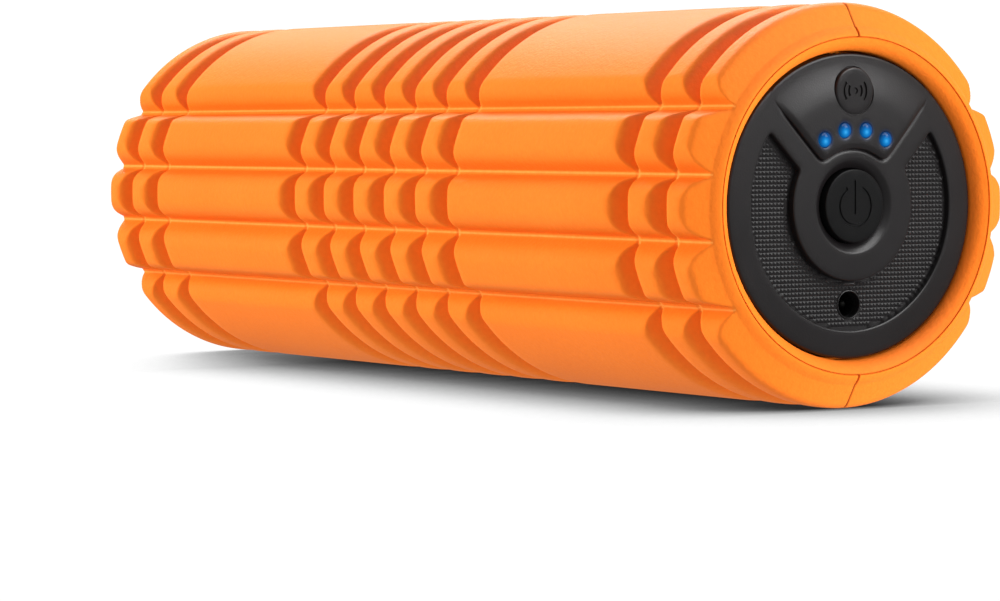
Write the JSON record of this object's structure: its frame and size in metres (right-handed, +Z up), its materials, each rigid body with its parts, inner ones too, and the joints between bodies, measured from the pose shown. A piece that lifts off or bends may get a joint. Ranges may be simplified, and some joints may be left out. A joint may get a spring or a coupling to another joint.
{
  "type": "vibrating foam roller",
  "caption": "Grooved foam sleeve on a rigid tube with a motor-driven eccentric weight, and a control cap with a push button and charging jack at one end.",
  "frame": {"origin": "middle of the roller, on its axis", "axes": "+X along the roller's axis, towards the control cap; +Z up, through the cap's badge and indicator lights"},
  "size_m": [0.312, 0.1, 0.1],
  "materials": {
    "foam": "matte moulded foam",
    "tube": "moulded tube",
    "cap": "satin moulded",
    "button": "satin moulded",
    "light": "clear, lit from behind",
    "led": "ceramic",
    "board": "solder mask",
    "chip": "moulded",
    "capacitor": "sleeved can",
    "inductor": "ferrite",
    "socket": "natural nylon",
    "switch": "moulded",
    "plunger": "moulded",
    "jack": "moulded",
    "contact": "plated",
    "cell": "shrink sleeve",
    "nickel": "nickel strip",
    "lead": "silicone insulation",
    "chassis": "glass-filled nylon",
    "elastomer": "matte",
    "steel": "zinc plated",
    "can": "drawn and plated",
    "end_cap": "natural nylon",
    "magnet": "sintered ferrite",
    "brush": "graphite",
    "winding": "enamelled copper",
    "brass": "turned",
    "black_steel": "black oxide",
    "sintered": "sintered steel",
    "bearing": "ground",
    "cage": "pressed"
  },
  "bodies": {
    "roller": {"foam_sleeve": "foam", "core_tube": "tube", "front_cap": "cap", "rear_cap": "cap", "cap_screws": "steel", "light_pipes": "light", "status_leds": "led", "control_board": "board", "board_screws": "steel", "board_chips": "chip", "board_capacitor": "capacitor", "board_inductor": "inductor", "battery_socket": "socket", "motor_socket": "socket", "switch_body": "switch", "charge_jack_housing": "jack", "charge_jack_pin": "contact", "charge_jack_spring": "contact", "battery_cells": "cell", "battery_tabs": "nickel", "battery_leads": "lead", "motor_leads": "lead", "chassis_lower": "chassis", "chassis_upper": "chassis", "chassis_screws": "steel", "isolation_rings": "elastomer", "end_cushions": "elastomer", "motor_can": "can", "motor_end_cap": "end_cap", "motor_magnets": "magnet", "motor_brushes": "brush", "motor_terminals": "brass", "motor_screws": "steel", "bearing_outer_races": "bearing"},
    "button": {"power_button": "button"},
    "plunger": {"switch_plunger": "plunger"},
    "rotor": {"motor_armature": "winding", "motor_shaft": "steel", "shaft_coupling": "brass", "coupling_set_screws": "black_steel", "drive_shaft": "steel", "eccentric_weights": "sintered", "weight_set_screws": "black_steel", "bearing_inner_races": "bearing"},
    "bearing_train": {"bearing_cages": "cage", "bearing_balls": "bearing"}
  },
  "joints": [
    {"name": "power_button_press", "type": "slide", "parent": "roller", "child": "button", "axis": [-1, 0, 0], "range_m": [0, 0.0008]},
    {"name": "switch_plunger_press", "type": "slide", "parent": "roller", "child": "plunger", "axis": [-1, 0, 0], "range_m": [0, 0.0008]},
    {"name": "rotor_spin", "type": "hinge", "parent": "roller", "child": "rotor", "pos_m": [-0.05, 0, 0], "axis": [1, 0, 0], "continuous": true},
    {"name": "bearing_train_spin", "type": "hinge", "parent": "roller", "child": "bearing_train", "pos_m": [-0.079, 0, 0], "axis": [1, 0, 0], "continuous": true}
  ],
  "couplings": [
    {"joint": "switch_plunger_press", "follows": "power_button_press", "ratio": 1},
    {"joint": "bearing_train_spin", "follows": "rotor_spin", "ratio": 0.368}
  ]
}
